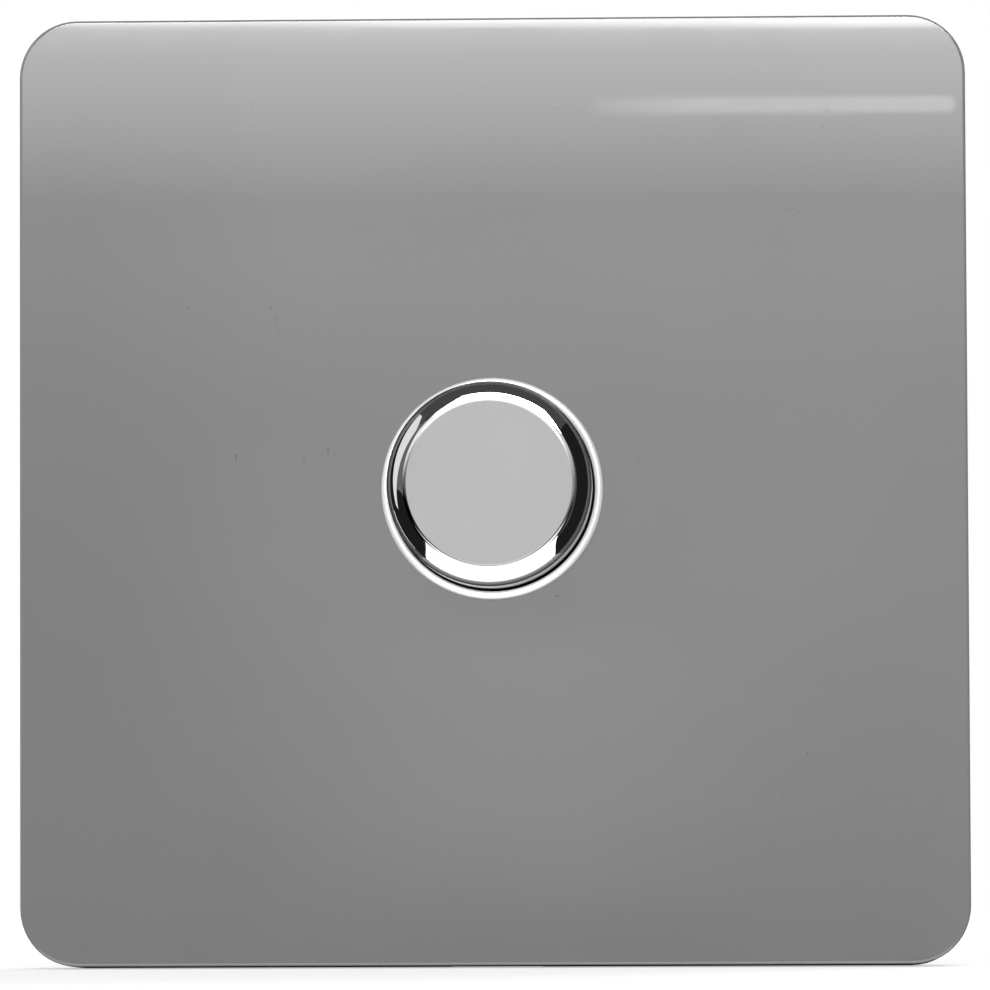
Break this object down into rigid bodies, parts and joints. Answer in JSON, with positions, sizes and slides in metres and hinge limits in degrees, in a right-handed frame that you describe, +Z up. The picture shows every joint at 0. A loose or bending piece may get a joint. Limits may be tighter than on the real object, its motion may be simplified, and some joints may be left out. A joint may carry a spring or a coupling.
{
  "type": "rotary dimmer switch",
  "caption": "Square gloss wall plate with a round metal knob that turns to dim and pushes to switch, on a frame that carries a closed module with wire terminals behind.",
  "frame": {"origin": "centre of the mounting frame's back face, on the wall surface, midway between the two box screw slots and on the knob's axis", "axes": "+Y into the wall, -Y to the room, +Z up, +X to the right for someone who faces the plate"},
  "size_m": [0.095, 0.0476, 0.095],
  "materials": {
    "plate_gloss": "polished light grey moulding",
    "knob_chrome": "bright plating",
    "frame_plastic": "fine moulded texture",
    "case_plastic": "fine spark-eroded texture",
    "aluminium_sheet": "mill finish",
    "plated_steel": "bright zinc plating",
    "spring_steel": "bare drawn wire and strip",
    "bush_brass": "turned",
    "contact_bronze": "rolled strip",
    "spindle_metal": "turned",
    "slider_plastic": "natural moulding",
    "switch_plastic": "moulded",
    "track_board": "pressed paper laminate",
    "board_green": "solder mask on glass laminate",
    "component_black": "moulded epoxy",
    "thermal_pad": "soft filled silicone",
    "ferrite": "sintered",
    "copper_wire": "enamelled winding",
    "film_box": "moulded box",
    "can_sleeve": "shrunk sleeve",
    "varistor_coat": "dipped coating",
    "fuse_body": "moulded block"
  },
  "bodies": {
    "base": {"front_plate": "plate_gloss", "mounting_frame": "frame_plastic", "lock_washer": "plated_steel", "bush_nut": "plated_steel", "threaded_bush": "bush_brass", "heatsink_plate": "aluminium_sheet", "module_case": "case_plastic", "case_screws": "plated_steel", "pot_can": "plated_steel", "track_wafer": "track_board", "pot_terminals": "contact_bronze", "switch_case": "switch_plastic", "latch_pin": "spring_steel", "return_spring": "spring_steel", "fixed_contacts": "contact_bronze", "circuit_board": "board_green", "wire_terminals": "bush_brass", "terminal_screws": "plated_steel", "power_transistors": "component_black", "thermal_pads": "thermal_pad", "choke_core": "ferrite", "choke_winding": "copper_wire", "film_capacitor": "film_box", "smoothing_capacitor": "can_sleeve", "rectifier": "component_black", "controller_chip": "component_black", "varistor": "varistor_coat", "fuse_link": "fuse_body", "resistors": "component_black"},
    "track_rotor": {"rotor": "slider_plastic", "wiper": "contact_bronze"},
    "spindle": {"knob": "knob_chrome", "knob_grip_spring": "spring_steel", "pot_shaft": "spindle_metal", "retaining_clip": "spring_steel"},
    "push_slider": {"switch_plunger": "slider_plastic", "moving_contact": "contact_bronze"}
  },
  "joints": [
    {"name": "knob_turn", "type": "hinge", "parent": "base", "child": "track_rotor", "pos_m": [0, 0, 0], "axis": [0, 1, 0], "range_deg": [0, 270]},
    {"name": "knob_push", "type": "slide", "parent": "track_rotor", "child": "spindle", "axis": [0, 1, 0], "range_m": [0, 0.0015], "stiffness_N_per_m": 1000, "springref_m": -0.002},
    {"name": "plunger_slide", "type": "slide", "parent": "base", "child": "push_slider", "axis": [0, 1, 0], "range_m": [0, 0.0015], "deforming": ["return_spring"]}
  ],
  "couplings": [
    {"joint": "plunger_slide", "follows": "knob_push", "ratio": 1}
  ]
}
